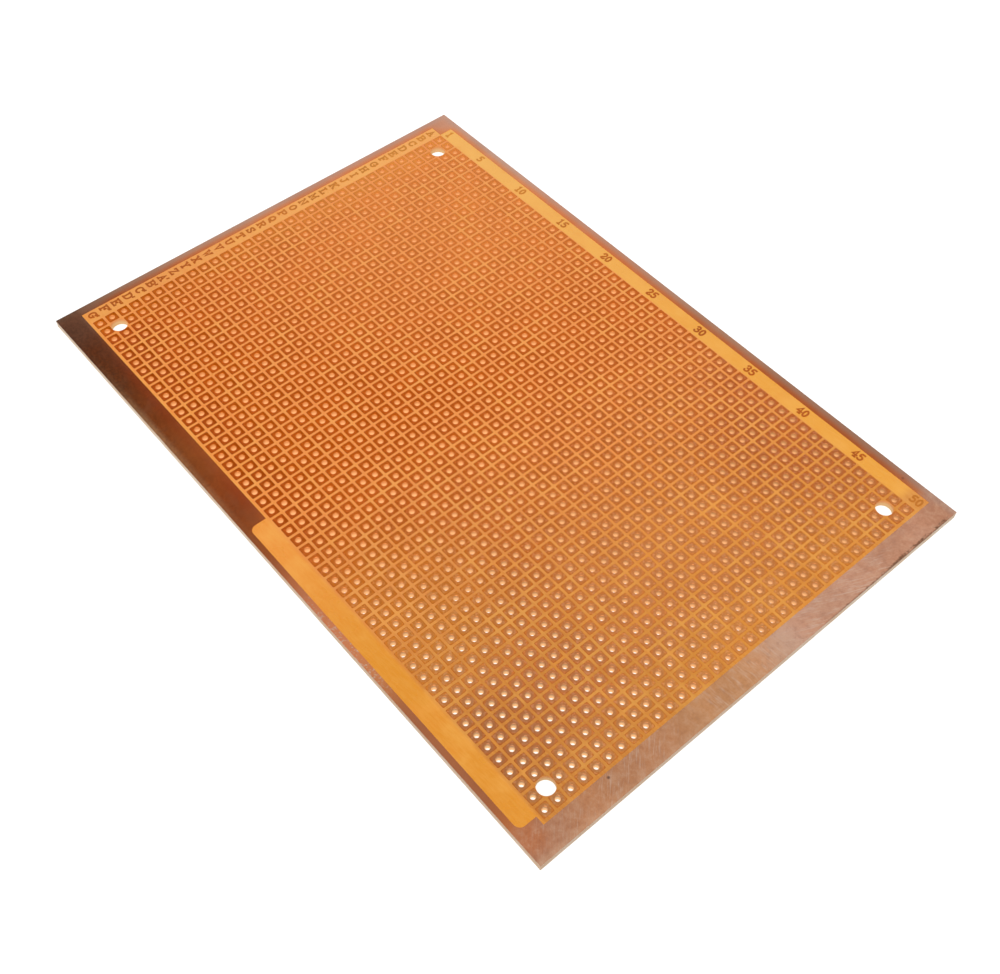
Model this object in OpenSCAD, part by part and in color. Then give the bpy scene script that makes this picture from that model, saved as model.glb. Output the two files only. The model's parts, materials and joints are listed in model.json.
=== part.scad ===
// Single-sided prototype board: a drilled phenolic paper laminate that carries
// separate square copper pads, one round each hole, inside a copper border.
// Millimetres. The board lies flat, copper side up, with the origin at the
// middle of its underside, the numbered columns along +X and the lettered rows
// from +Y to -Y.

/* [Hole grid] */
// Distance between the centres of neighbouring holes
hole_pitch = 2.54; // [2:0.01:3.2]
// Numbered columns of holes, along the board's length
columns = 50; // [30:1:60]
// Lettered rows of holes, across the board's width
rows = 33; // [10:1:40]
// Diameter of the component holes
hole_d = 1; // [0.6:0.05:1.3]

/* [Laminate] */
// Thickness of the bare laminate
laminate_t = 1.5; // [0.8:0.1:3.2]
// Distance from the first and last columns of holes to the board's ends
end_margin = 5.9; // [4.6:0.1:12]
// Distance from the first and last rows of holes to the board's long sides
side_margin = 6; // [5.2:0.1:12]

/* [Mounting holes] */
// Diameter of the four mounting holes
mount_d = 3.1; // [2.2:0.1:3.7]
// How many holes in from each edge of the grid a mounting hole takes the place of
mount_step = 1; // [1:1:4]

/* [Copper foil] */
// Thickness of the foil
foil_t = 0.035; // [0.018:0.001:0.105]
// Etched line between two neighbouring pads
pad_gap = 0.5; // [0.3:0.05:0.6]

/* [Copper border] */
// Etched line between the outer pads and the border
border_gap = 0.6; // [0.3:0.05:0.8]
// Etched line between the corner pad and the copper corner beside the two strips
corner_gap = 0.2; // [0.1:0.05:1]
// Width of the bare strip beside the first row, for the column numbers
number_strip_w = 3.05; // [1.8:0.05:4]
// Width of the bare strip beside the first column, for the row letters
letter_strip_w = 3; // [1.8:0.05:3.8]

/* [Label window] */
// Length of the bare window in the border beside the last row
label_l = 68; // [10:0.5:70]
// Width of the window
label_w = 3.3; // [1.5:0.1:4]
// Distance from the window to the end of the pad field
label_inset = 1.6; // [0.5:0.1:3]
// Radius of the window's two outer corners
label_r = 1.2; // [0.2:0.1:1.4]

/* [Hidden] */
$fn = 32;
slip = 0.01;

// The grid of holes is centred on the board
grid_l = (columns - 1) * hole_pitch;
grid_w = (rows - 1) * hole_pitch;
board_l = grid_l + 2 * end_margin;
board_w = grid_w + 2 * side_margin;
pad_w = hole_pitch - pad_gap;

// Outer edges of the pads, then the edges of the windows etched in the border
pads_x = (grid_l + pad_w) / 2;
pads_y = (grid_w + pad_w) / 2;
window_left = -pads_x - letter_strip_w;
window_right = pads_x + border_gap;
window_top = pads_y + number_strip_w;
window_bottom = -pads_y - border_gap;
corner_x = -pads_x - corner_gap;
corner_y = pads_y + corner_gap;
label_right = window_right - label_inset;

// The rows are lettered a to z, and then a_prime, b_prime and so on
alphabet_n = 26;
function row_name(r) = str("pads_row_", chr(ord("a") + r % alphabet_n), r < alphabet_n ? "" : "_prime");

mount_columns = [mount_step, columns - 1 - mount_step];
mount_rows = [mount_step, rows - 1 - mount_step];

// Centre of the grid position in column c and row r, both counted from 0
function grid_at(c, r) = [c * hole_pitch - grid_l / 2, grid_w / 2 - r * hole_pitch];

// Whether a mounting hole takes the place of the pad in column c and row r
function is_mount(c, r) = len(search(c, mount_columns)) > 0 && len(search(r, mount_rows)) > 0;

// A flat rectangle given by its edges
module flat_box(left, bottom, right, top) {
    translate([left, bottom]) square([right - left, top - bottom]);
}

// The component holes of row r, as flat discs
module row_holes(r) {
    for (c = [0 : columns - 1])
        if (!is_mount(c, r)) translate(grid_at(c, r)) circle(d = hole_d);
}

// The four mounting holes, as flat discs
module mount_holes() {
    for (c = mount_columns, r = mount_rows)
        translate(grid_at(c, r)) circle(d = mount_d);
}

// The bare opening in the border: the pad field, and the two strips beside it,
// less the copper corner that the strips leave between them
module field_window() {
    flat_box(corner_x, window_bottom, window_right, window_top);
    flat_box(window_left, window_bottom, window_right, corner_y);
}

// The label window, open to the pad field, with two rounded outer corners
module label_window() {
    outer = window_bottom - label_w;
    left = label_right - label_l;
    flat_box(left, outer + label_r, label_right, window_bottom + slip);
    flat_box(left + label_r, outer, label_right - label_r, window_bottom);
    for (x = [left + label_r, label_right - label_r])
        translate([x, outer + label_r]) circle(r = label_r);
}

// The drilled sheet of phenolic paper
module laminate() {
    color("darkgoldenrod") linear_extrude(laminate_t) difference() {
        square([board_l, board_w], center = true);
        for (r = [0 : rows - 1]) row_holes(r);
        mount_holes();
    }
}

// The frame of foil left round the pad field, flush with the board's edges
module copper_border() {
    color("sienna") translate([0, 0, laminate_t]) linear_extrude(foil_t) difference() {
        square([board_l, board_w], center = true);
        field_window();
        label_window();
    }
}

// The square pads of row r, each a piece of foil of its own with its hole, and
// trimmed where it meets a mounting hole
module pads_row(r) {
    color("peru") translate([0, 0, laminate_t]) linear_extrude(foil_t) difference() {
        for (c = [0 : columns - 1])
            if (!is_mount(c, r)) translate(grid_at(c, r)) square(pad_w, center = true);
        row_holes(r);
        mount_holes();
    }
}

laminate();
copper_border();
for (r = [0 : rows - 1])
    pads_row(r);
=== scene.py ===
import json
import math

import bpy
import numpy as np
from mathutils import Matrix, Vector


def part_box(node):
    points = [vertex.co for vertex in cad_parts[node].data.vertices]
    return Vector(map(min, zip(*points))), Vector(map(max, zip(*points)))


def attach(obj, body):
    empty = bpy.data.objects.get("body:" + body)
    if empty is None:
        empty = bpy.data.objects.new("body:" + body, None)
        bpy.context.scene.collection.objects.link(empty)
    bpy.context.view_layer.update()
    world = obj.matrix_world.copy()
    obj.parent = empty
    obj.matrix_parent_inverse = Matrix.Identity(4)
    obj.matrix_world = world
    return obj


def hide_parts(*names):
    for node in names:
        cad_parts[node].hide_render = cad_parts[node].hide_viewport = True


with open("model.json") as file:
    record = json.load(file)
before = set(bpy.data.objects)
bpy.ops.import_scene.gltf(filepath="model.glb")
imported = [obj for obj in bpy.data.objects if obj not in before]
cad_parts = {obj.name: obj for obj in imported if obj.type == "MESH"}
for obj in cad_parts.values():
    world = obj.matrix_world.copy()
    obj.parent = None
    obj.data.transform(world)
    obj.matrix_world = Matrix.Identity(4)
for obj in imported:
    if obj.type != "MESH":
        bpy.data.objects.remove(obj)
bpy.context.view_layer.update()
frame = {"nodes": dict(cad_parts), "record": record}

# Looks of a single-sided prototype board: a punched sheet of amber phenolic
# paper, 1646 square pads of copper foil, a copper border round them, and index
# numbers and letters etched from the same foil. Lengths are in metres, in the
# CAD frame: copper side up, numbered columns along +X, lettered rows from +Y
# to -Y.

MM = 0.001

# ---------------- sizes
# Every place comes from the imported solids: the sheet, the foil above it, and
# the rows of pads with the grid that they stand on.

sheet_high = np.array(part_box("laminate")[1])
SHEET_TOP = sheet_high[2]
FOIL_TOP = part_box("copper_border")[1][2]

ROW_NODES = sorted(
    (name for name in frame["nodes"] if name.startswith("pads_row_")),
    key=lambda name: -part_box(name)[1][1],
)
first_low, first_high = (np.array(corner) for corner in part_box(ROW_NODES[0]))
last_high = np.array(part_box(ROW_NODES[-1])[1])
PAD_W = first_high[1] - first_low[1]
PITCH = (first_high[1] - last_high[1]) / (len(ROW_NODES) - 1)
GRID_L = first_high[0] - first_low[0] - PAD_W
GRID_W = PITCH * (len(ROW_NODES) - 1)
COLUMNS = round(GRID_L / PITCH) + 1
COLUMN_X = (np.arange(COLUMNS) - (COLUMNS - 1) / 2) * PITCH
ROW_Y = ((len(ROW_NODES) - 1) / 2 - np.arange(len(ROW_NODES))) * PITCH

mounts = {mount["name"]: mount for mount in frame["record"]["mounts"]}
mount_dims = mounts["mounting_holes"]["dims"]
MOUNT_R = mount_dims["hole_r_mm"] * MM
HOLE_R = mounts["component_holes"]["dims"]["hole_r_mm"] * MM
MOUNT_XY = np.array([
    (side * mount_dims["spacing_x_mm"] * MM / 2, end * mount_dims["spacing_y_mm"] * MM / 2)
    for side in (-1, 1) for end in (-1, 1)
])

# For the materials, in millimetres: half sizes of the board and of the field
# that the pads cover, and the height of the sheet's upper face
BOARD_X, BOARD_Y = sheet_high[0] / MM, sheet_high[1] / MM
FIELD_X, FIELD_Y = (GRID_L + PAD_W) / 2 / MM, (GRID_W + PAD_W) / 2 / MM
FACE_Z = SHEET_TOP / MM

# ---------------- meshes

SPOKES = 16  # points round a component hole, and round its cell and its pad
WELD = 1e-8  # points that agree to this length are one
TINY = 1e-9  # a length, or a divisor, as good as nothing
SHARP_DEG = 35  # where smooth faces meet at more than this, the edge stays


def make_piece(name, points, faces, slots=None, smooth=None, values=None):
    """A mesh object from an (n, 3) array of points and a list of face arrays of
    shape (m, 3) or (m, 4). Points that coincide are welded. slots gives each
    face its material, smooth says which faces are smooth, and values is
    {attribute: one number per point}."""
    keys = np.round(points / WELD).astype(np.int64)
    _, kept, welded = np.unique(keys, axis=0, return_index=True, return_inverse=True)
    welded = welded.reshape(-1)
    order = np.argsort(kept)
    place = np.empty(len(kept), np.int64)
    place[order] = np.arange(len(kept))
    kept = kept[order]
    corners = [place[welded[block]] for block in faces]
    counts = np.concatenate([np.full(len(block), block.shape[1]) for block in corners])
    mesh = bpy.data.meshes.new(name)
    mesh.vertices.add(len(kept))
    mesh.vertices.foreach_set("co", points[kept].astype(np.float32).ravel())
    loops = np.concatenate([block.ravel() for block in corners]).astype(np.int32)
    mesh.loops.add(len(loops))
    mesh.loops.foreach_set("vertex_index", loops)
    mesh.polygons.add(len(counts))
    starts = np.concatenate([[0], np.cumsum(counts)[:-1]]).astype(np.int32)
    mesh.polygons.foreach_set("loop_start", starts)
    if slots is not None:
        mesh.polygons.foreach_set("material_index", np.asarray(slots, np.int32))
    mesh.update(calc_edges=True)
    soft = np.zeros(len(counts), bool) if smooth is None else np.asarray(smooth, bool)
    mesh.polygons.foreach_set("use_smooth", soft)
    if soft.any():
        mesh.set_sharp_from_angle(angle=math.radians(SHARP_DEG))
    for attribute, numbers in (values or {}).items():
        made = mesh.attributes.new(attribute, "FLOAT", "POINT")
        made.data.foreach_set("value", numbers[kept].astype(np.float32))
    mesh.validate()
    piece = bpy.data.objects.new(name, mesh)
    bpy.context.scene.collection.objects.link(piece)
    return piece


def spokes(count=SPOKES):
    """Unit vectors at equal steps of angle: (cos t, sin t), t = 2 pi k / count."""
    turn = np.arange(count) * 2 * np.pi / count
    return np.stack([np.cos(turn), np.sin(turn)], axis=1)


def cell_outline(half):
    """The square of half width half where each spoke crosses it:
    half * (cos t, sin t) / max(|cos t|, |sin t|)."""
    ray = spokes()
    return half * ray / np.abs(ray).max(axis=1, keepdims=True)


def pad_outline(half, corner):
    """A square of half width half with three points round each corner: the
    middle of a side, then the start, middle and end of a rounding of radius
    corner."""
    inner = half - corner
    diagonal = inner + corner * math.sqrt(0.5)
    quarter = np.array([(half, 0.0), (half, inner), (diagonal, diagonal), (inner, half)])
    turn = [quarter]
    for _ in range(3):
        quarter = np.stack([-quarter[:, 1], quarter[:, 0]], axis=1)
        turn.append(quarter)
    return np.concatenate(turn)


def clear_of_mounts(xy, radius):
    """Points nearer than radius to a mounting hole's axis move straight away
    from it, to that radius: m + radius * (p - m) / |p - m|."""
    moved = xy.copy()
    for centre in MOUNT_XY:
        away = moved - centre
        reach = np.linalg.norm(away, axis=-1, keepdims=True)
        pushed = centre + away / np.maximum(reach, TINY) * radius
        moved = np.where(reach < radius, pushed, moved)
    return moved


def is_mount(centres):
    """Whether each (n, 2) grid place is one that a mounting hole takes."""
    gaps = np.linalg.norm(centres[:, None] - MOUNT_XY[None], axis=2)
    return gaps.min(axis=1) < PITCH / 2


def ring_faces(first, second, start, around):
    """Quads between two rings of around points in each shape, counted in rings
    from the shape's start. They look to the left of first -> second as the
    rings turn counterclockwise."""
    k = np.arange(around)
    after = (k + 1) % around
    base = start[:, None]
    near, far = base + first * around, base + second * around
    return np.stack([near + k, far + k, far + after, near + after], axis=-1).reshape(-1, 4)


def stacked_rings(rings, heights):
    """Points of n shapes made of r rings: rings is a list of (n, k, 2) arrays,
    heights a list of r heights. Returns (n * r * k, 3), shape by shape."""
    levels = [np.concatenate([xy, np.full(xy.shape[:2] + (1,), z)], axis=2)
              for xy, z in zip(rings, heights)]
    return np.stack(levels, axis=1).reshape(-1, 3)


def join(parts):
    """One set of points, face arrays and face slots from several."""
    points, faces, slots, shift = [], [], [], 0
    for part_points, part_faces, part_slots in parts:
        for block, slot in zip(part_faces, part_slots):
            faces.append(block + shift)
            slots.append(np.full(len(block), slot))
        points.append(part_points)
        shift += len(part_points)
    return np.concatenate(points), faces, np.concatenate(slots)


# The sheet: each grid place is a square cell round its hole. A cell is four
# rings: its outline and the hole's rim above, then the same two below.

CELL_RINGS = 4
CELL_HEIGHTS = [SHEET_TOP, SHEET_TOP, 0, 0]
PUNCH_EXIT = 0.03 * MM  # a punch breaks out a little wider than it goes in
SKIRT = 1.72 * MM  # how far round a mounting hole the cells give way
FACE, PUNCHED, SHEARED = 0, 1, 2  # the sheet's material slots

# Down the sheared edge: a height as a share of the sheet's, and how far in the
# shear may have chipped it there
CHIPS = [(1.0, 0.0), (0.93, 0.012 * MM), (0.62, 0.05 * MM),
         (0.3, 0.035 * MM), (0.05, 0.03 * MM), (0.0, 0.0)]
CHIP_SEED = 7


def sheet_cells():
    """Top, wall and underside round each component hole. For spoke t the hole is
    r(z) (cos t, sin t) with r = HOLE_R above and HOLE_R + PUNCH_EXIT below, and
    the cell's edge is the square of half a pitch."""
    grid = np.stack(np.meshgrid(COLUMN_X, ROW_Y), axis=-1).reshape(-1, 2)
    centres = grid[~is_mount(grid)][:, None]
    square = clear_of_mounts(centres + cell_outline(PITCH / 2), SKIRT)
    rim = centres + HOLE_R * spokes()
    exit_ring = centres + (HOLE_R + PUNCH_EXIT) * spokes()
    points = stacked_rings([square, rim, exit_ring, square], CELL_HEIGHTS)
    start = np.arange(len(centres)) * CELL_RINGS * SPOKES
    top, wall, under = (ring_faces(k + 1, k, start, SPOKES) for k in range(CELL_RINGS - 1))
    return points, [top, under, wall], [FACE, FACE, PUNCHED]


def mount_cells():
    """The four places of a mounting hole: a hole of twice as many spokes, and a
    fan of triangles from its rim to the cell's pushed-out edge."""
    fine = 2 * SPOKES
    centres = MOUNT_XY[:, None]
    rim = centres + MOUNT_R * spokes(fine)
    exit_ring = centres + (MOUNT_R + PUNCH_EXIT) * spokes(fine)
    square = np.zeros_like(rim)  # only its first half holds points in use
    square[:, :SPOKES] = clear_of_mounts(centres + cell_outline(PITCH / 2), SKIRT)
    points = stacked_rings([square, rim, exit_ring, square], CELL_HEIGHTS)
    start = (np.arange(len(centres)) * CELL_RINGS * fine)[:, None]
    k = np.arange(SPOKES)
    after = (k + 1) % SPOKES
    near, mid, far = 2 * k, 2 * k + 1, (2 * k + 2) % fine

    def fan(edge, hole):
        """Triangles that look up, between two rings counted from the start."""
        edge, hole = start + edge * fine, start + hole * fine
        parts = [(edge + k, hole + mid, hole + near), (edge + k, edge + after, hole + mid),
                 (edge + after, hole + far, hole + mid)]
        return np.concatenate([np.stack(part, axis=-1).reshape(-1, 3) for part in parts])

    wall = ring_faces(2, 1, start[:, 0], fine)
    return points, [fan(0, 1), fan(3, 2)[:, ::-1], wall], [FACE, FACE, PUNCHED]


def sheet_margin(rng):
    """The margin from the outermost cells to the sheared edge, and the edge
    itself. A point (x, y) of the grid's outline goes out to
    (x L / l, y W / w), and down the edge it goes in by a small random depth."""
    half = np.array([GRID_L, GRID_W]) / 2 + PITCH / 2
    spoke = math.tan(math.pi / 8) * PITCH / 2

    def side(middles, corner):
        """Where the cells' spokes meet one side of the grid, up to its corner."""
        steps = [middles - spoke, middles, middles + spoke, middles + PITCH / 2]
        return np.append(np.unique(np.round(np.concatenate(steps) / TINY))[:-1] * TINY, corner)

    xs, ys = side(COLUMN_X, half[0]), side(ROW_Y, half[1])
    loop = np.concatenate([np.stack(pair, axis=1) for pair in (
        (xs, np.full(len(xs), -half[1])), (np.full(len(ys), half[0]), ys),
        (-xs, np.full(len(xs), half[1])), (np.full(len(ys), -half[0]), -ys))])
    outer = loop * (sheet_high[:2] / half)
    outward = np.sign(outer) * (np.abs(outer) > sheet_high[:2] - TINY)
    count = len(loop)
    ragged = rng.uniform(0, 1, (len(CHIPS), count))
    ragged = (ragged + np.roll(ragged, 1, axis=1) + np.roll(ragged, -1, axis=1)) / 3
    walls = [outer - outward * (depth * chip)[:, None]
             for (_, depth), chip in zip(CHIPS, ragged)]
    levels = [ring[None] for ring in (loop, *walls, loop)]
    points = stacked_rings(levels, [SHEET_TOP, *[share * SHEET_TOP for share, _ in CHIPS], 0])
    start = np.zeros(1, np.int64)
    top, *edge, under = (ring_faces(k, k + 1, start, count) for k in range(len(levels) - 1))
    return points, [top, under, *edge], [FACE, FACE, *[SHEARED] * len(edge)]


def make_sheet():
    """The whole sheet: flat faces, walls of holes, and sheared edges."""
    margin = sheet_margin(np.random.default_rng(CHIP_SEED))
    points, faces, slots = join([sheet_cells(), mount_cells(), margin])
    sheet = make_piece("phenolic_sheet", points, faces, slots=slots, smooth=slots == PUNCHED)
    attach(sheet, "root")
    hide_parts("laminate")
    return sheet


# The pads: foil drawn down into the hole by the punch

ETCH_SLOPE = 0.02 * MM  # how much narrower a pad is at its top than at its foot
PAD_CORNER = 0.16 * MM
MOUNT_GAP = 0.01 * MM  # from a mounting hole to the pads that it trims
# Radius and depth, from the foil's top, of the turned-down edge of a pad's hole
LIP = [(HOLE_R + 0.12 * MM, 0.0), (HOLE_R + 0.03 * MM, 0.025 * MM),
       (HOLE_R - 0.04 * MM, 0.09 * MM)]
SHADE_SEED = 33


def make_pads(node, y, rng):
    """One row of pads. Each is a closed stack of five rings of 16 points: the
    foot and the shoulder of the outline, then the three of LIP, where the punch
    has rounded the foil over and drawn it down into the hole."""
    centres = np.stack([COLUMN_X, np.full(COLUMNS, y)], axis=1)
    centres = centres[~is_mount(centres)][:, None]
    clear = MOUNT_R + MOUNT_GAP
    foot = centres + pad_outline(PAD_W / 2, PAD_CORNER)
    shoulder = centres + pad_outline(PAD_W / 2 - ETCH_SLOPE, PAD_CORNER)
    rings = [clear_of_mounts(foot, clear), clear_of_mounts(shoulder, clear + ETCH_SLOPE),
             *[centres + radius * spokes() for radius, _ in LIP]]
    heights = [SHEET_TOP, FOIL_TOP, *[FOIL_TOP - depth for _, depth in LIP]]
    points = stacked_rings(rings, heights)
    levels = len(rings)
    start = np.arange(len(centres)) * levels * SPOKES
    bands = [ring_faces((k + 1) % levels, k, start, SPOKES) for k in range(levels)]
    soft = np.concatenate([np.full(len(band), k in (2, 3)) for k, band in enumerate(bands)])

    def by_ring(*numbers):
        """A number for each point, from one for each ring of a pad."""
        return np.tile(np.repeat(np.array(numbers), SPOKES), len(centres))

    values = {"rim": by_ring(1.0, 1.0, 0.0, 0.0, 0.0), "mouth": by_ring(0.0, 0.0, 0.0, 1.0, 1.0),
              "shade": np.repeat(rng.uniform(0, 1, len(centres)), levels * SPOKES)}
    pads = make_piece(node.replace("pads_row", "pads"), points, bands, smooth=soft, values=values)
    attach(pads, "root")
    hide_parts(node)
    return pads


# The index characters. Each stroke is "x,y x,y ..." on a grid six wide and
# eight high, with the serifs as strokes of their own. A stroke that starts
# with ~ has its corners rounded.

GLYPH_GRID = np.array([6, 8])
GLYPHS = {
    "A": "1,0 3,8 5,0; 1.7,3 4.3,3; 0,0 2,0; 4,0 6,0",
    "B": "1,0 1,8; ~0,8 4,8 5,7 5,5.2 4,4.2 1,4.2; ~4,4.2 5.5,3.2 5.5,1 4.3,0 0,0",
    "C": "~5.4,5.6 4.6,7.4 3,8 1.3,7 0.5,4 1.3,1 3,0 4.7,0.6 5.5,2; 5.4,5.6 5.4,8",
    "D": "1,0 1,8; ~0,8 3.6,8 5.1,6.8 5.7,4 5.1,1.2 3.6,0 0,0",
    "E": "1,0 1,8; 0,8 5,8 5,6.4; 1,4.2 3.6,4.2; 3.6,3.2 3.6,5.2; 0,0 5.3,0 5.3,1.9",
    "F": "1,0 1,8; 0,8 5.2,8 5.2,6.3; 1,4.2 3.7,4.2; 3.7,3.2 3.7,5.2; 0,0 2.6,0",
    "G": "~5.2,5.7 4.4,7.4 3,8 1.3,7 0.5,4 1.3,1 3,0 4.6,0.5 5.2,1.4 5.2,3.4;"
         " 3.6,3.4 6,3.4; 5.2,5.7 5.2,8",
    "H": "1,0 1,8; 5,0 5,8; 1,4.2 5,4.2; 0,0 2,0; 4,0 6,0; 0,8 2,8; 4,8 6,8",
    "I": "3,0 3,8; 1.6,0 4.4,0; 1.6,8 4.4,8",
    "J": "~3.9,8 3.9,1.6 3.1,0.2 1.9,0 1,1 1,2.2; 2.4,8 5.4,8",
    "K": "1,0 1,8; 5,8 1,3.4; 2.2,4.8 5.2,0; 0,0 2,0; 0,8 2,8; 4,8 6,8; 4.2,0 6,0",
    "L": "1.4,0 1.4,8; 0.2,8 2.8,8; 0.2,0 5.3,0 5.3,2.2",
    "M": "0.8,0 0.8,8 3,2.4 5.2,8 5.2,0; 0,0 1.8,0; 4.2,0 6,0; 0,8 0.8,8; 5.2,8 6,8",
    "N": "1,0 1,8 5,0 5,8; 0,0 2,0; 0,8 1,8; 4,8 6,8",
    "O": "~3,8 1.3,7 0.5,4 1.3,1 3,0 4.7,1 5.5,4 4.7,7 3,8",
    "P": "1,0 1,8; ~0,8 4,8 5.4,7.1 5.4,5 4,4 1,4; 0,0 2.6,0",
    "Q": "~3,8 1.3,7 0.5,4 1.3,1 3,0 4.7,1 5.5,4 4.7,7 3,8; 2.6,1.8 3.8,1.8 4.7,-0.8 5.8,-0.8",
    "R": "1,0 1,8; ~0,8 4,8 5.2,7.1 5.2,5.2 4,4.2 1,4.2; 3.2,4.2 4.9,0 6,0; 0,0 2.2,0",
    "S": "~5,6 4.5,7.5 3,8 1.4,7.5 0.9,6.1 1.6,4.9 4.4,3.3 5.1,1.9 4.5,0.5 3,0 1.5,0.5 0.9,2;"
         " 5,6 5,8; 0.9,0 0.9,2",
    "T": "3,0 3,8; 0.5,6.2 0.5,8 5.5,8 5.5,6.2; 1.7,0 4.3,0",
    "U": "~1,8 1,2 1.8,0.4 3,0 4.2,0.4 5,2 5,8; 0,8 2,8; 4,8 6,8",
    "V": "1,8 3,0 5,8; 0,8 2,8; 4,8 6,8",
    "W": "0.7,8 1.9,0 3,6 4.1,0 5.3,8; 0,8 1.6,8; 4.4,8 6,8",
    "X": "1,8 5,0; 5,8 1,0; 0,8 2,8; 4,8 6,8; 0,0 2,0; 4,0 6,0",
    "Y": "1,8 3,4 5,8; 3,4 3,0; 0,8 2,8; 4,8 6,8; 1.7,0 4.3,0",
    "Z": "0.9,6.4 0.9,8 5.1,8 0.9,0 5.3,0 5.3,1.8",
    "'": "7.1,8.6 6.7,6.6",
    "0": "~3,8 1.6,7 1,4 1.6,1 3,0 4.4,1 5,4 4.4,7 3,8",
    "1": "1.9,6.8 3.2,8 3.2,0; 1.8,0 4.6,0",
    "2": "~1.1,6 1.7,7.5 3,8 4.5,7.3 4.9,5.9 4.1,4.2 1,0 5,0 5.1,1.5",
    "3": "~1.2,6.7 2,7.8 3.2,8 4.5,7.2 4.6,5.5 3.6,4.4 2.4,4.3;"
         " ~3.6,4.4 5,3.2 4.9,1.1 3.2,0 1.7,0.2 1,1.5",
    "4": "4,0 4,8 0.8,2.5 5.4,2.5; 2.8,0 5.2,0",
    "5": "~4.9,8 1.6,8 1.3,4.4 3,5 4.6,4.2 5,2.4 4.2,0.6 2.6,0 1,0.9",
}
ALPHABET = "ABCDEFGHIJKLMNOPQRSTUVWXYZ"
STROKE_W = 0.35 * MM
LETTER_H = 1.5 * MM  # between the middles of the top and foot strokes
LETTER_W = 1.32 * MM
DIGIT_W = 1.2 * MM
DIGIT_STEP = 1.2 * MM
LETTER_OUT = 2.82 * MM  # from the first column to the middle of the letters
NUMBER_OUT = 2.72 * MM  # from the first row to the middle of the numbers
NUMBERED_EVERY = 5
# So that no two tops lie in one plane, a bar sinks this much along its length,
# and each stroke of a character starts this much below the last
BAR_FALL = 0.0015 * MM
STROKE_FALL = 0.002 * MM
MITRE = 0.6  # the least cosine that a bar's corner widens by


def rounded(path, times=2):
    """Each corner cut at a quarter and three quarters of its two sides, times
    over; the ends stay, and a closed path stays closed."""
    for _ in range(times):
        near, far = path[:-1] * 0.75 + path[1:] * 0.25, path[:-1] * 0.25 + path[1:] * 0.75
        cut = np.stack([near, far], axis=1).reshape(-1, 2)
        path = np.concatenate([path[:1], cut[1:-1], path[-1:]])
    return path


def ribbon(path, width, top):
    """A closed bar of foil along a path, as high as top where it starts and a hair
    lower where it ends. With n the mean of the two segments' unit normals at a
    point, its sides are p +- n width / 2 / (n . n_segment), and both ends run on
    by a third of the width."""
    step = np.diff(path, axis=0)
    step /= np.linalg.norm(step, axis=1, keepdims=True)
    ends = path.copy()
    ends[0] -= step[0] * width / 3
    ends[-1] += step[-1] * width / 3
    normal = np.stack([-step[:, 1], step[:, 0]], axis=1)
    before = np.concatenate([normal[:1], normal])
    after = np.concatenate([normal, normal[-1:]])
    mean = before + after
    mean /= np.maximum(np.linalg.norm(mean, axis=1, keepdims=True), TINY)
    reach = width / 2 / np.maximum((mean * after).sum(axis=1, keepdims=True), MITRE)
    left, right = ends + mean * reach, ends - mean * reach
    n = len(path)
    outline = np.stack([right, left], axis=1).reshape(1, -1, 2)
    points = stacked_rings([outline, outline], [SHEET_TOP, top])
    points[2 * n:, 2] -= np.repeat(np.linspace(0, BAR_FALL, n), 2)
    k = np.arange(n - 1) * 2
    up = 2 * n
    last = up - 2
    quads = [np.stack([up + k, up + k + 2, up + k + 3, up + k + 1], axis=1),
             np.stack([k + 1, k + 3, k + 2, k], axis=1),
             np.stack([k, k + 2, up + k + 2, up + k], axis=1),
             np.stack([up + k + 1, up + k + 3, k + 3, k + 1], axis=1),
             np.array([[0, up, up + 1, 1], [last, last + 1, up + last + 1, up + last]])]
    return points, [np.concatenate(quads)], [0]


def glyph(character, centre, width, height):
    """The ribbons of one character, with the middle of its grid at centre."""
    bars = []
    for order, stroke in enumerate(GLYPHS[character].split("; ")):
        path = np.array([[float(v) for v in pair.split(",")] for pair in stroke.strip("~").split()])
        if stroke.startswith("~"):
            path = rounded(path)
        path = (path - GLYPH_GRID / 2) * ((width, height) / GLYPH_GRID) + centre
        bars.append(ribbon(path, STROKE_W, FOIL_TOP - order * STROKE_FALL))
    return bars


def make_legend():
    """The numbers 1, 5, 10 ... over their columns and the letters A ... Z, A' ...
    before their rows, as one piece of each kind."""
    numbers, letters = [], []
    number_y = ROW_Y[0] + NUMBER_OUT
    for column in [1, *range(NUMBERED_EVERY, COLUMNS + 1, NUMBERED_EVERY)]:
        digits = str(column)
        for k, digit in enumerate(digits):
            x = COLUMN_X[column - 1] + (k - (len(digits) - 1) / 2) * DIGIT_STEP
            numbers += glyph(digit, (x, number_y), DIGIT_W, LETTER_H)
    letter_x = COLUMN_X[0] - LETTER_OUT
    for k, y in enumerate(ROW_Y):
        for character in ALPHABET[k % len(ALPHABET)] + "'" * (k // len(ALPHABET)):
            letters += glyph(character, (letter_x, y), LETTER_W, LETTER_H)
    made = []
    for name, bars in (("column_numbers", numbers), ("row_letters", letters)):
        points, faces, _ = join(bars)
        piece = make_piece(name, points, faces)
        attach(piece, "root")
        made.append(piece)
    return made


# ---------------- shader nodes
# A share is a number from 0 to 1 that says how much of something shows, and
# places on the board are in millimetres.


def add(tree, kind, inputs=None, **settings):
    """A shader node. inputs holds values, or the sockets that feed it."""
    made = tree.nodes.new("ShaderNode" + kind)
    for key, value in settings.items():
        setattr(made, key, value)
    for key, value in (inputs or {}).items():
        if isinstance(value, bpy.types.NodeSocket):
            tree.links.new(value, made.inputs[key])
        else:
            made.inputs[key].default_value = value
    return made


def math_node(tree, operation, a, b=0.0):
    """A Math node's result."""
    return add(tree, "Math", {0: a, 1: b}, operation=operation).outputs[0]


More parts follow.
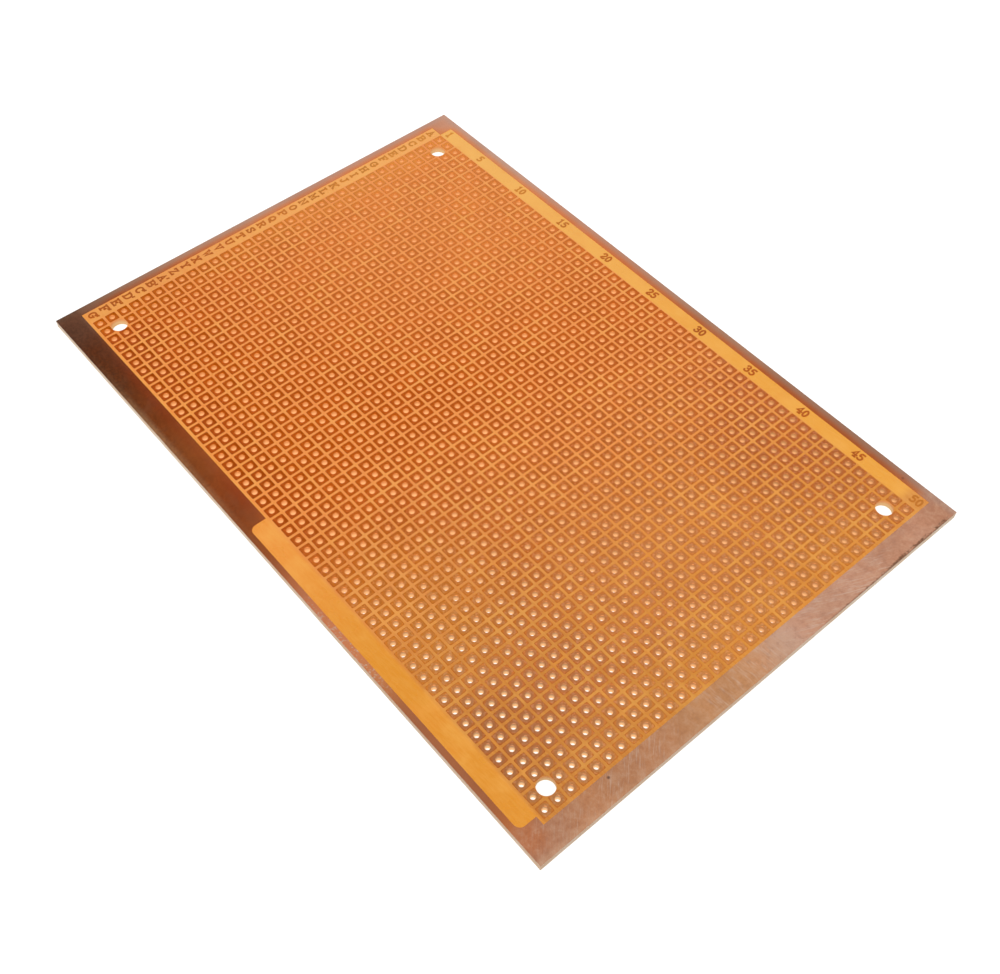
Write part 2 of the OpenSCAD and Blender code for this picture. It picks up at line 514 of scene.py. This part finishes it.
def vector_math(tree, operation, a, b):
    """The node itself: a vector is its output 0, a number its output Value."""
    return add(tree, "VectorMath", {0: a, 1: b}, operation=operation)


def scaled(tree, vector, by):
    """A place or a colour times a number."""
    return add(tree, "VectorMath", {0: vector, "Scale": by}, operation="SCALE").outputs[0]


def spread(tree, value, low, high, to_low=0.0, to_high=1.0):
    """value eased from to_low at low to to_high at high."""
    return add(tree, "MapRange", {0: value, 1: low, 2: high, 3: to_low, 4: to_high},
               interpolation_type="SMOOTHSTEP").outputs[0]


def object_place(tree):
    """The object's own coordinates, in metres."""
    return add(tree, "TexCoord").outputs["Object"]


def passing(tree, axis, start, end):
    """0 where the coordinate along axis is at start, easing to 1 at end. start may
    be the larger."""
    value = add(tree, "SeparateXYZ", {0: object_place(tree)}).outputs[axis]
    return spread(tree, value, start * MM, end * MM)


def near_point(tree, x, y, inner, outer):
    """1 within inner of a place on the board, easing to 0 at outer."""
    flat = vector_math(tree, "MULTIPLY", object_place(tree), (1, 1, 0)).outputs[0]
    gap = vector_math(tree, "DISTANCE", flat, (x * MM, y * MM, 0)).outputs["Value"]
    return spread(tree, gap, outer * MM, inner * MM)


def share_of(tree, what):
    """what is a share, or the arguments that passing or near_point need for one."""
    if not isinstance(what, tuple):
        return what
    return passing(tree, *what) if len(what) == 3 else near_point(tree, *what)


def chain(tree, operation, shares):
    """One share from several, by a Math operation."""
    result, *others = (share_of(tree, share) for share in shares)
    for other in others:
        result = math_node(tree, operation, result, other)
    return result


def both(tree, *shares):
    """The product of shares."""
    return chain(tree, "MULTIPLY", shares)


def either(tree, *shares):
    """The largest of shares."""
    return chain(tree, "MAXIMUM", shares)


def between(tree, share, none, full):
    """A number eased from none to full as share goes from 0 to 1."""
    return spread(tree, share_of(tree, share), 0, 1, none, full)


def blend(tree, share, a, b, mode="MIX"):
    """Colour a passing into colour b as share goes from 0 to 1. A colour is a
    socket, or a tuple of red, green and blue."""
    a, b = ((*colour, 1.0) if isinstance(colour, tuple) else colour for colour in (a, b))
    return add(tree, "Mix", {0: share_of(tree, share), 6: a, 7: b},
               data_type="RGBA", blend_type=mode).outputs[2]


def painted(tree, tone, layers, mode="MIX"):
    """tone under layers. A layer is one or more shares, which multiply, and then
    its colour."""
    for *shares, colour in layers:
        tone = blend(tree, both(tree, *shares), tone, colour, mode)
    return tone


def noise(tree, place, scale=1.0, detail=3.0, rough=0.5, distortion=0.0):
    """Clouds from 0 to 1, with scale of them to a metre."""
    return add(tree, "TexNoise", {"Vector": place, "Scale": scale, "Detail": detail,
                                  "Roughness": rough, "Distortion": distortion}).outputs["Fac"]


def stretched(tree, place, turn, size):
    """Coordinates whose first axis runs at the angle turn in the board's plane,
    then multiplied by size, so a noise on them is long where size is small."""
    turned_place = add(tree, "VectorRotate", {"Vector": place, "Angle": turn},
                       rotation_type="Z_AXIS", invert=True).outputs[0]
    return vector_math(tree, "MULTIPLY", turned_place, size).outputs[0]


def new_group(name, inputs, outputs):
    """A node group with number inputs {name: value} and number outputs."""
    group = bpy.data.node_groups.new(name, "ShaderNodeTree")
    for label, value in inputs.items():
        socket = group.interface.new_socket(label, in_out="INPUT", socket_type="NodeSocketFloat")
        socket.default_value = value
    for label in outputs:
        group.interface.new_socket(label, in_out="OUTPUT", socket_type="NodeSocketFloat")
    return group, group.nodes.new("NodeGroupInput").outputs, group.nodes.new("NodeGroupOutput")


def send(group, out, **results):
    """Feeds a group's outputs."""
    for label, socket in results.items():
        group.links.new(socket, out.inputs[label])


def use_group(tree, group, **inputs):
    """The outputs of a group, used in a material."""
    return add(tree, "Group", inputs, node_tree=group).outputs


def new_material(name):
    """A material and its empty node tree."""
    material = bpy.data.materials.new(name)
    material.use_nodes = True
    material.node_tree.nodes.clear()
    return material, material.node_tree


def finish_surface(tree, bump_height, bump_mm, bump_strength, **sockets):
    """The Principled shader and its output. sockets are Principled inputs with
    underscores for spaces."""
    bump = add(tree, "Bump", {"Height": bump_height, "Distance": bump_mm * MM,
                              "Strength": bump_strength})
    inputs = {key.replace("_", " "): value for key, value in sockets.items()}
    inputs["Normal"] = bump.outputs[0]
    shader = add(tree, "BsdfPrincipled", inputs)
    add(tree, "OutputMaterial", {"Surface": shader.outputs[0]})


# ---------------- materials


def make_foil_wear():
    """Rolled and handled foil: broad clouds, fine grain, and a height for bump."""
    group, given, out = new_group("foil_wear", {"Grit": 1.0}, ["Clouds", "Grain", "Height"])
    place = object_place(group)
    broad = noise(group, place, scale=140, detail=4, rough=0.6)
    fine = noise(group, scaled(group, place, given["Grit"]), scale=2400, rough=0.6)
    send(group, out, Clouds=spread(group, broad, 0.3, 0.7), Grain=spread(group, fine, 0.3, 0.7),
         Height=fine)
    return group


def make_brushing():
    """Light streaks that run at the angle Turn, a few millimetres long and a
    fraction of one wide, in loose bunches."""
    group, given, out = new_group("brushing", {"Turn": 0.0}, ["Streaks"])
    place = object_place(group)
    line_place = stretched(group, place, given["Turn"], (330, 3900, 100))
    bunch_place = stretched(group, place, given["Turn"], (190, 620, 100))
    lines = noise(group, line_place, rough=0.7, distortion=0.25)
    bunches = noise(group, bunch_place, rough=0.6)
    send(group, out, Streaks=both(group, spread(group, lines, 0.44, 0.7),
                                  spread(group, bunches, 0.34, 0.62)))
    return group


def make_paper_fibre():
    """Resin-bound paper: long fibres along the sheet, soft clouds, and a height
    for bump."""
    group, given, out = new_group("paper_fibre", {"Coarseness": 1.0},
                                  ["Fibres", "Clouds", "Height"])
    place = scaled(group, object_place(group), given["Coarseness"])
    fibres = noise(group, stretched(group, place, 0.07, (500, 3600, 3600)), rough=0.6,
                   distortion=0.6)
    clouds = noise(group, place, scale=160, rough=0.55)
    speck = noise(group, place, scale=5200, detail=2, rough=0.6)
    send(group, out, Fibres=spread(group, fibres, 0.32, 0.68),
         Clouds=spread(group, clouds, 0.3, 0.7),
         Height=math_node(group, "ADD", both(group, fibres, 0.6), both(group, speck, 0.4)))
    return group


def phenolic_face(fibre):
    """The sheet's flat faces: amber resin over faint paper fibre, yellow on the
    numbered strip, and a deeper orange on the lettered one, on the label beside
    the last row and between the pads. The underside has one tone."""
    material, tree = new_material("phenolic_face")
    paper = use_group(tree, fibre, Coarseness=1.0)
    numbered = blend(tree, ("X", -60, 35), (0.9, 0.432, 0.07), (0.857, 0.35, 0.019))
    numbered = blend(tree, ("X", 58.8, 61), numbered, (0.68, 0.235, 0.021))
    lettered = blend(tree, ("Y", 30, -45), (0.9, 0.375, 0.07), (0.8, 0.272, 0.042))
    label = blend(tree, ("X", -6, 30), (0.86, 0.295, 0.03), (0.745, 0.265, 0.002))
    field = blend(tree, ("X", 6, 58), (0.84, 0.252, 0.036), (0.68, 0.228, 0.01))
    field = blend(tree, (58, -38, 8, 36), field, (0.66, 0.205, 0.01))
    field = painted(tree, field, [(("X", -8, 16), ("Y", 16, -22), (0.86, 0.91, 1.0))], "MULTIPLY")
    strips = blend(tree, ("Y", FIELD_Y - 0.5, FIELD_Y + 0.5), lettered, numbered)
    strips = blend(tree, ("Y", 1 - FIELD_Y, -1 - FIELD_Y), strips, label)
    inside = both(tree, ("X", -FIELD_X - 0.3, -FIELD_X), ("Y", FIELD_Y + 0.3, FIELD_Y),
                  ("Y", -FIELD_Y - 0.7, -FIELD_Y + 0.1))
    stain = noise(tree, object_place(tree), scale=210, rough=0.6)
    tone = painted(tree, blend(tree, inside, strips, field), [
        (("Z", FACE_Z - 0.3, FACE_Z - 0.6), (0.8, 0.31, 0.035)),
        (spread(tree, stain, 0.46, 0.72, 0, 0.34), (0.82, 0.27, 0.015)),
        (spread(tree, paper["Clouds"], 0.4, 1, 0, 0.22), (0.95, 0.48, 0.09)),
        (between(tree, paper["Fibres"], 0, 0.15), (0.92, 0.5, 0.1))])
    finish_surface(tree, paper["Height"], bump_mm=0.01, bump_strength=0.25, Base_Color=tone,
                   Roughness=between(tree, paper["Clouds"], 0.26, 0.36),
                   Coat_Weight=0.3, Coat_Roughness=0.15, IOR=1.5)
    return material


def punched_wall(fibre):
    """Inside the holes: torn resin and paper, with a painted glow, an emission
    that stands in for light let through the sheet: weak under the foil, so the
    wall is darker there, and stronger towards the underside. Paler by the last
    columns. The mounting holes are cleaner, with a painted glow of their own,
    and duller by the last corner."""
    material, tree = new_material("punched_wall")
    paper = use_group(tree, fibre, Coarseness=1.6)
    deep, deeper = ("Z", FACE_Z, FACE_Z - 1.15), ("Z", FACE_Z, FACE_Z - 1.4)
    later = ("X", 0, 45)
    pale = both(tree, later, ("Y", 5, -40))
    tone = painted(tree, blend(tree, later, (0.55, 0.24, 0.1), (0.4, 0.21, 0.1)), [
        (pale, (0.4, 0.34, 0.27)),
        (between(tree, paper["Clouds"], 0, 0.25), (0.62, 0.36, 0.2))])
    # Painted glow: an emission that stands in for light let through the sheet, weak under the foil
    # and strong towards the underside
    glow = blend(tree, deep, (0.22, 0.09, 0.012), (0.58, 0.37, 0.165))
    late_glow = blend(tree, deeper, (0.105, 0.0375, 0.0), (0.68, 0.385, 0.168))
    glow = painted(tree, glow, [(later, 0.85, late_glow)])
    reach = MOUNT_R / MM
    mount = either(tree, *[(x, y, reach + 0.1, reach + 0.3) for x, y in MOUNT_XY / MM])
    mount_tone = blend(tree, deep, (0.66, 0.27, 0.085), (0.66, 0.44, 0.22))
    # The mounting holes' own painted glow, an emission that stands in for light let through the
    # sheet
    mount_glow = blend(tree, deep, (0.22, 0.085, 0.02), (0.285, 0.19, 0.085))
    dull = both(tree, between(tree, later, 1, 0.95), between(tree, pale, 1, 0.87))
    tone = blend(tree, mount, tone, scaled(tree, mount_tone, dull))
    glow = blend(tree, mount, glow, scaled(tree, mount_glow, dull))
    finish_surface(tree, paper["Height"], bump_mm=0.03, bump_strength=0.5, Base_Color=tone,
                   Roughness=0.75, Emission_Color=glow, Emission_Strength=1.0)
    return material


def sheared_edge(fibre):
    """The outer edges, cut in a shear: pale, layered and a little furry, browner
    under the foil and towards the last corner."""
    material, tree = new_material("sheared_edge")
    paper = use_group(tree, fibre, Coarseness=1.3)
    layers = noise(tree, stretched(tree, object_place(tree), 0.0, (160, 160, 5200)), detail=2)
    toward_last_corner = between(tree, (BOARD_X, -BOARD_Y, 10, 110), 0.12, 0.45)
    tone = blend(tree, paper["Clouds"], (0.88, 0.66, 0.46), (0.96, 0.82, 0.66))
    tone = painted(tree, tone, [
        (toward_last_corner, (0.62, 0.39, 0.24)),
        (("Z", FACE_Z - 0.5, FACE_Z), 0.4, (0.52, 0.29, 0.16)),
        (spread(tree, layers, 0.5, 0.72, 0, 0.5), (0.68, 0.4, 0.2))])
    finish_surface(tree, paper["Height"], bump_mm=0.05, bump_strength=0.6, Base_Color=tone,
                   Roughness=spread(tree, layers, 0.3, 0.7, 0.6, 0.85))
    return material


ON_END = ("X", 60, 64)  # the border beside the last column


def border_tarnish(tree):
    """Where the border is brown, from tarnish and from a painted dark reflection:
    beside the last row, more and more along the first column, and along the
    second half of the first row."""
    last_row = both(tree, ("Y", 6 - BOARD_Y, 3 - BOARD_Y), between(tree, ("X", -8, 12), 1, 0.3))
    first_column = both(tree, ("X", 4 - BOARD_X, 2 - BOARD_X), ("Y", 32, -45))
    first_row = both(tree, ("Y", 40, 43), ("X", -50, 30), between(tree, ("X", 48, 66), 1, 0.4))
    corner = both(tree, (63.5, -43, 0.5, 4.5), 0.5)
    brown = either(tree, last_row, first_column, first_row, corner)
    return both(tree, brown, between(tree, ON_END, 1, 0.45))


def border_nearness(tree, place):
    """1 on most of the border, less and less towards the sheared rim, on the end
    and at the corners of the first column, with a cloudy bound. On the end
    this paints the copper greyer and pinker, a painted reflection of light."""
    clouds = noise(tree, place, scale=260, detail=4, rough=0.65)
    near = both(tree, ("Y", BOARD_Y - 0.2, BOARD_Y - 1.8), ("X", 0.2 - BOARD_X, 1.8 - BOARD_X),
                between(tree, ON_END, 1, 0.45),
                between(tree, (-BOARD_X, BOARD_Y, 3, 7), 1, 0.4),
                between(tree, (-BOARD_X, -BOARD_Y, 4, 14), 1, 0.3))
    return both(tree, near, spread(tree, clouds, 0.36, 0.52, 0.8, 1.0))


def border_brushing(tree, brushing):
    """Streaks on the end beside the last column: slanting, then straight across,
    then slanting the other way."""
    marks = []
    for turn_deg, y, inner, outer in ((66, 19, 7, 17), (4, -3, 5, 14), (-45, -32, 9, 19)):
        streaks = use_group(tree, brushing, Turn=math.radians(turn_deg))["Streaks"]
        marks.append(both(tree, streaks, (BOARD_X - 2.5, y, inner, outer)))
    return both(tree, either(tree, *marks), ("X", BOARD_X - 7, BOARD_X - 5))


def end_burr(tree, place):
    """A dark line on the very edge of the last column's end, from the first row
    on, that frays into short dashes."""
    x = add(tree, "SeparateXYZ", {0: place}).outputs["X"]
    fray = noise(tree, place, scale=1500, rough=0.7)
    frayed = math_node(tree, "ADD", x, both(tree, fray, 0.8 * MM))
    line = spread(tree, frayed, (BOARD_X + 0.1) * MM, (BOARD_X + 0.34) * MM)
    dashes = noise(tree, stretched(tree, place, math.pi / 2, (800, 1300, 100)), rough=0.65)
    blots = both(tree, spread(tree, frayed, (BOARD_X - 0.3) * MM, (BOARD_X + 0.12) * MM),
                 spread(tree, dashes, 0.44, 0.55))
    burr = either(tree, both(tree, line, 0.75), both(tree, blots, ("Y", 24, 32)))
    return both(tree, burr, ("Y", 10, 20), ("Y", 45.5, 43.5))


def border_copper(wear_group, brushing):
    """The border: rosy copper that is greyer at the rim and redder beside the
    strips, brown in places from tarnish and a painted dark reflection, with
    patches and shades along each side, a mottled and brushed end that is
    painted pinker as a reflection of light, and a few marks, among them
    painted glints."""
    material, tree = new_material("border_copper")
    wear = use_group(tree, wear_group, Grit=1.0)
    place = object_place(tree)
    # brown: tarnish together with a painted dark reflection
    brown = border_tarnish(tree)
    rim_tone = blend(tree, brown, (0.65, 0.38, 0.28), (0.5, 0.25, 0.15))
    near_tone = blend(tree, brown, (0.81, 0.29, 0.105), (0.59, 0.138, 0.028))
    foot = both(tree, ("Y", 1.4 - BOARD_Y, 0.1 - BOARD_Y), (-30, -BOARD_Y, 6, 34))
    dim = both(tree, ("Y", 5.4 - BOARD_Y, 3.6 - BOARD_Y), (-57, -BOARD_Y, 6, 24))
    redder = both(tree, ("Y", 1.8 - BOARD_Y, 4.2 - BOARD_Y), ("Y", 7 - BOARD_Y, 5.6 - BOARD_Y),
                  ("X", 0, -12), ("X", -58, -46))
    # Painted reflection of light: a lighter, pinker rim along the end
    painted_end_reflection = both(tree, ("X", BOARD_X - 1.3, BOARD_X - 0.3), ("Y", 2, -8))
    tone = painted(tree, blend(tree, border_nearness(tree, place), rim_tone, near_tone), [
        (foot, 0.9, (0.97, 0.47, 0.22)),
        (dim, 0.5, (0.2, 0.078, 0.036)),
        (redder, 0.6, (0.6, 0.08, 0.01)),
        (painted_end_reflection, 0.4, (0.98, 0.62, 0.42)),
        ((-23, 3 - BOARD_Y, 2, 13), 0.4, (0.8, 0.22, 0.05)),
        ((-3, -BOARD_Y, 3, 12), 0.6, (0.6, 0.17, 0.045)),
        ((20, -BOARD_Y, 3, 20), 0.8, (0.95, 0.37, 0.15)),
        ((47, -BOARD_Y, 7, 17), 0.7, (0.5, 0.17, 0.075)),
        # On the end: lighter patches, part of its painted reflection of light
        ((BOARD_X - 2.5, 13, 8, 18), 0.4, (0.92, 0.5, 0.33)),
        ((BOARD_X - 2, 5.5, 1, 6), 0.4, (0.93, 0.66, 0.52)),
        ((BOARD_X - 2.5, -8, 4, 18), 0.6, (0.95, 0.44, 0.15)),
        ((BOARD_X - 2.5, -28, 4, 17), 0.55, (0.84, 0.35, 0.125)),
        ((64.2, 1.6 - BOARD_Y, 0.8, 3.4), 0.75, (0.72, 0.24, 0.09)),
        ((57.7, BOARD_Y - 1.3, 0.3, 1.5), 0.3, (0.6, 0.16, 0.07))])
    tone = painted(tree, tone, [
        ((65, -19, 6, 20), (0.91, 0.91, 0.93)),
        ((44, BOARD_Y, 6, 24), (0.9, 0.9, 0.93)),
        ((-60, -BOARD_Y, 3, 14), (0.85, 0.8, 0.8)),
        ((-12, -BOARD_Y, 3, 13), (0.95, 0.84, 0.8)),
        ((13, -BOARD_Y, 6, 20), (0.97, 0.86, 0.9)),
        ((BOARD_X, -BOARD_Y, 6, 20), (1.0, 0.95, 0.88)),
        ((-BOARD_X, 26, 10, 30), (1.02, 0.91, 0.86)),
        ((-22, BOARD_Y, 8, 26), (1.03, 0.89, 0.81))], "MULTIPLY")
    tone = scaled(tree, tone, between(tree, wear["Clouds"], 0.95, 1.05))
    mottle = noise(tree, place, scale=620, detail=5, rough=0.75)
    # Painted glints: light specks of the grain on the border by the last row
    glints = both(tree, spread(tree, wear["Grain"], 0.66, 0.95), (22, -BOARD_Y, 5, 14))
    streaks = border_brushing(tree, brushing)
    calmer = between(tree, (BOARD_X, -BOARD_Y, 4, 24), 0.45, 0.24)
    # marks: the painted glints together with the brushed streaks
    marks = either(tree, both(tree, glints, 0.6), both(tree, streaks, calmer))
    specks = either(tree, (BOARD_X - 3.5, -30.3, 0.1, 0.36),
                    both(tree, (57.7, BOARD_Y - 1.3, 0.1, 0.4), 0.6))
    tone = painted(tree, tone, [
        (ON_END, spread(tree, mottle, 0.44, 0.68, 0, 0.34), (0.95, 0.6, 0.4)),
        (ON_END, spread(tree, mottle, 0.5, 0.32, 0, 0.26), (0.42, 0.17, 0.1)),
        (marks, (0.97, 0.76, 0.63)),
        (end_burr(tree, place), 0.85, (0.2, 0.085, 0.04)),
        (specks, 0.75, (0.14, 0.06, 0.04))])
    height = math_node(tree, "ADD", both(tree, wear["Height"], 0.3), streaks)
    finish_surface(tree, height, bump_mm=0.002, bump_strength=0.25, Base_Color=tone,
                   Roughness=between(tree, wear["Grain"], 0.15, 0.2), Metallic=1.0,
                   Coat_Weight=0.2, Coat_Roughness=0.12)
    return material


def from_hole(tree):
    """How far each place lies from the middle of the nearest small hole: along
    an axis |fract(turns) - 1/2| pitches, as holes stand at half turns."""
    split = add(tree, "SeparateXYZ", {0: object_place(tree)})
    offsets = []
    for axis, count in (("X", COLUMNS), ("Y", len(ROW_NODES))):
        turns = both(tree, split.outputs[axis], 1 / PITCH)
        if count % 2:
            turns = math_node(tree, "ADD", turns, 0.5)
        part = math_node(tree, "SUBTRACT", math_node(tree, "FRACT", turns), 0.5)
        offsets.append(both(tree, part, PITCH))
    squares = [both(tree, offset, offset) for offset in offsets]
    return math_node(tree, "SQRT", math_node(tree, "ADD", *squares))


def pad_copper(wear_group):
    """The pads: copper under amber lacquer that hides most of its shine, each a
    shade of its own, darker round its outline, with a painted highlight round
    its hole where the foil turns down, and greyer by the last columns, a painted
    sheen, more grained there and with a dark ring round the hole. Some rows and
    corners are lighter or darker."""
    material, tree = new_material("pad_copper")
    wear = use_group(tree, wear_group, Grit=0.7)
    rim, mouth, shade = [add(tree, "Attribute", attribute_name=name).outputs["Fac"]
                         for name in ("rim", "mouth", "shade")]
    first, last_corner = (-BOARD_X, BOARD_Y, 20, 83), (52, -32, 5, 34)
    # The last columns, where the pads are painted greyer: a painted sheen of light from that side
    painted_sheen_columns = ("X", -12, 50)
    tone = painted(tree, blend(tree, first, (0.54, 0.092, 0.0), (0.76, 0.22, 0.038)), [
        (painted_sheen_columns, (0.66, 0.19, 0.026)),
        ((50, 0, 6, 28), 0.8, (0.73, 0.24, 0.055)),
        ((52, -32, 5, 20), 0.6, (0.62, 0.185, 0.055))])
    tone = scaled(tree, tone, between(tree, wear["Clouds"], 0.95, 1.09))
    grit = both(tree, painted_sheen_columns, spread(tree, wear["Grain"], 0.5, 1.0, 0, 0.3))
    ring = both(tree, painted_sheen_columns, spread(tree, from_hole(tree), 1.15 * MM, 0.65 * MM),
                between(tree, last_corner, 0.42, 0.62))
    tone = painted(tree, tone, [
        (shade, 0.14, (0.5, 0.11, 0.005)),
        (grit, (0.8, 0.42, 0.24)),
        (ring, (0.43, 0.18, 0.075)),
        (spread(tree, rim, 0.7, 1.0, 0, 0.42), (0.34, 0.05, 0.0))])
    tone = painted(tree, tone, [
        (("Y", -31, -38), ("X", 6, -4), ("X", -61, -57), (0.87, 0.8, 0.82)),
        (("X", -56, -61), (1.02, 1.16, 1.08)),
        (("X", 52, 60), ("Y", 36, 28), (1.03, 1.14, 1.08)),
        ((24, -38, 6, 24), (1.07, 1.27, 1.15)),
        ((36, 42, 8, 26), (0.88, 0.75, 0.78)),
        ((52, -41, 4, 14), (0.86, 0.88, 0.92))], "MULTIPLY")
    dulled = either(tree, last_corner, both(tree, painted_sheen_columns, 0.55))
    # A painted highlight on the foil's turned-down lip, duller by the last columns and the last
    # corner
    painted_lip_highlight = blend(tree, dulled, (0.8, 0.24, 0.05), (0.5, 0.19, 0.08))
    tone = painted(tree, tone, [(mouth, 0.8, painted_lip_highlight)])
    finish_surface(tree, wear["Height"], bump_mm=0.004, bump_strength=0.3, Base_Color=tone,
                   Roughness=between(tree, wear["Grain"], 0.2, 0.3), Metallic=0.35,
                   Specular_IOR_Level=0.1, Coat_Weight=0.08, Coat_Roughness=0.14, IOR=1.5)
    return material


def legend_copper(wear_group):
    """The index characters: thin dull foil, sunk in the lacquer, and fainter
    away from the first corner and at the last number."""
    material, tree = new_material("legend_copper")
    wear = use_group(tree, wear_group, Grit=1.0)
    faint = either(tree, (-BOARD_X, BOARD_Y, 10, 70), both(tree, (62, BOARD_Y, 6, 14), 0.65))
    tone = blend(tree, faint, (0.47, 0.09, 0.0), (0.66, 0.235, 0.022))
    tone = scaled(tree, tone, between(tree, wear["Clouds"], 0.9, 1.08))
    tone = painted(tree, tone, [(wear["Grain"], 0.1, (0.72, 0.34, 0.09))])
    finish_surface(tree, wear["Height"], bump_mm=0.003, bump_strength=0.3, Base_Color=tone,
                   Roughness=0.36, Metallic=0.2, Specular_IOR_Level=0.2,
                   Coat_Weight=0.1, Coat_Roughness=0.15, IOR=1.5)
    return material


# ---------------- studio

WHITE = (1, 1, 1, 1)
FLOOR_GREY = (0.42, 0.42, 0.42, 1)
FLOOR_GLOW = 0.78  # added to what the camera and mirror rays see of the floor
FLOOR_HALF = 2.5

WALL_LIGHT, OVERHEAD_LIGHT = 0.8, 0.62
WALL_DEG, OVERHEAD_DEG = 40, 66  # the heights between which one eases to the other
HORIZON_SINES = (0.45, 0.2)  # mirror rays see white from the higher down to the lower

# A dark screen for the foil to mirror: the azimuth and height of its corner,
# its lean, and angles from there at which it starts, is full, fades and ends
SCREEN_CORNER_DEG = (163.2, 43.2)
SCREEN_LEAN_DEG = 16
SCREEN_ACROSS_DEG = (-1.2, 1.2, 22, 28)
SCREEN_UP_DEG = (-3, 1, 11, 16)

FOCAL_MM, SENSOR_MM = 46.56, 36.0
CAMERA_MM = (111.878, -92.772, 179.094)
AIM_MM = (14.588, -8.327)  # on the top of the foil
ROLL_DEG = 0.51


def make_floor():
    """A pale floor. Seen straight on or in a reflection it adds enough light of
    its own to read as white, and the object's shadow stays on it."""
    corners = np.array([(-1, -1, 0), (1, -1, 0), (1, 1, 0), (-1, 1, 0)]) * FLOOR_HALF
    floor = make_piece("studio_floor", corners, [np.array([[0, 1, 2, 3]])])
    material, tree = new_material("studio_floor")
    ray = add(tree, "LightPath").outputs
    seen = either(tree, ray["Is Camera Ray"], ray["Is Glossy Ray"], ray["Is Transmission Ray"])
    grey = add(tree, "BsdfDiffuse", {"Color": FLOOR_GREY}).outputs[0]
    glow = add(tree, "Emission", {"Color": WHITE, "Strength": both(tree, seen, FLOOR_GLOW)})
    surface = add(tree, "AddShader", {0: grey, 1: glow.outputs[0]}).outputs[0]
    add(tree, "OutputMaterial", {"Surface": surface})
    floor.data.materials.append(material)


def sine(angle_deg):
    return math.sin(math.radians(angle_deg))


def direction(azimuth_deg, elevation_deg):
    """A unit vector at an angle from +X towards +Y, and above the horizon."""
    a, e = math.radians(azimuth_deg), math.radians(elevation_deg)
    return Vector((math.cos(a) * math.cos(e), math.sin(a) * math.cos(e), math.sin(e)))


def turned(level, upright, angle_deg):
    """Two square axes, turned by an angle from level towards upright."""
    turn = math.radians(angle_deg)
    return (level * math.cos(turn) + upright * math.sin(turn),
            upright * math.cos(turn) - level * math.sin(turn))


def make_world():
    """An even pale room, a little dimmer overhead, with one dark screen, and
    white to the camera and low down to mirror rays."""
    world = bpy.data.worlds.new("studio")
    bpy.context.scene.world = world
    world.use_nodes = True
    tree = world.node_tree
    tree.nodes.clear()
    way = add(tree, "TexCoord").outputs["Generated"]
    up = add(tree, "SeparateXYZ", {0: way}).outputs["Z"]
    walls = spread(tree, up, sine(OVERHEAD_DEG), sine(WALL_DEG), OVERHEAD_LIGHT, WALL_LIGHT)

    def span(axis, edges_deg):
        """Two shares whose product is 1 on the screen and 0 past it along axis."""
        along = vector_math(tree, "DOT_PRODUCT", way, axis).outputs["Value"]
        starts, full, fades, ends = (sine(angle) for angle in edges_deg)
        return [spread(tree, along, starts, full), spread(tree, along, ends, fades)]

    corner = direction(*SCREEN_CORNER_DEG)
    level = Vector((-corner.y, corner.x, 0)).normalized()
    across, rise = turned(level, corner.cross(level), SCREEN_LEAN_DEG)
    card = both(tree, *span(across, SCREEN_ACROSS_DEG), *span(rise, SCREEN_UP_DEG))
    room = both(tree, walls, math_node(tree, "SUBTRACT", 1.0, card))
    ray = add(tree, "LightPath").outputs
    mirrored = either(tree, ray["Is Glossy Ray"], ray["Is Transmission Ray"])
    horizon = both(tree, mirrored, spread(tree, up, *HORIZON_SINES))
    white = either(tree, ray["Is Camera Ray"], horizon)
    unseen = math_node(tree, "SUBTRACT", 1.0, white)
    strength = math_node(tree, "ADD", both(tree, room, unseen), white)
    sky = add(tree, "Background", {"Color": WHITE, "Strength": strength}).outputs[0]
    add(tree, "OutputWorld", {"Surface": sky})


def make_lamp(name, azimuth_deg, elevation_deg, far, size, power):
    """A square soft light that faces the middle of the board."""
    data = bpy.data.lights.new(name, "AREA")
    data.shape = "SQUARE"
    data.size = size
    data.energy = power
    lamp = bpy.data.objects.new(name, data)
    way = direction(azimuth_deg, elevation_deg)
    lamp.location = way * far
    lamp.rotation_mode = "QUATERNION"
    lamp.rotation_quaternion = way.to_track_quat("Z", "Y")
    bpy.context.scene.collection.objects.link(lamp)


def make_camera():
    """A camera above one corner, aimed near the middle of the foil and rolled
    slightly."""
    data = bpy.data.cameras.new("camera")
    data.lens = FOCAL_MM
    data.sensor_width = SENSOR_MM
    data.clip_start, data.clip_end = 0.01, 10.0
    camera = bpy.data.objects.new("camera", data)
    place = Vector(CAMERA_MM) * MM
    aim = Vector((AIM_MM[0] * MM, AIM_MM[1] * MM, FOIL_TOP))
    look = (aim - place).normalized()
    level = look.cross(Vector((0, 0, 1))).normalized()
    right, above = turned(level, level.cross(look), ROLL_DEG)
    camera.matrix_world = Matrix((
        (right.x, above.x, -look.x, place.x),
        (right.y, above.y, -look.y, place.y),
        (right.z, above.z, -look.z, place.z),
        (0, 0, 0, 1)))
    bpy.context.scene.collection.objects.link(camera)
    bpy.context.scene.camera = camera


# ---------------- the scene

make_camera()
make_world()
make_lamp("key_light", azimuth_deg=300, elevation_deg=62, far=0.9, size=0.6, power=3.2)
make_floor()

fibre = make_paper_fibre()
wear = make_foil_wear()
brushing = make_brushing()
sheet = make_sheet()
for material in (phenolic_face(fibre), punched_wall(fibre), sheared_edge(fibre)):
    sheet.data.materials.append(material)

border = frame["nodes"]["copper_border"]
border.data.materials.clear()
border.data.materials.append(border_copper(wear, brushing))

pads_finish = pad_copper(wear)
shades = np.random.default_rng(SHADE_SEED)
for node, y in zip(ROW_NODES, ROW_Y):
    make_pads(node, y, shades).data.materials.append(pads_finish)

legend_finish = legend_copper(wear)
for piece in make_legend():
    piece.data.materials.append(legend_finish)

bpy.context.scene.view_settings.view_transform = "Standard"

bpy.context.view_layer.update()
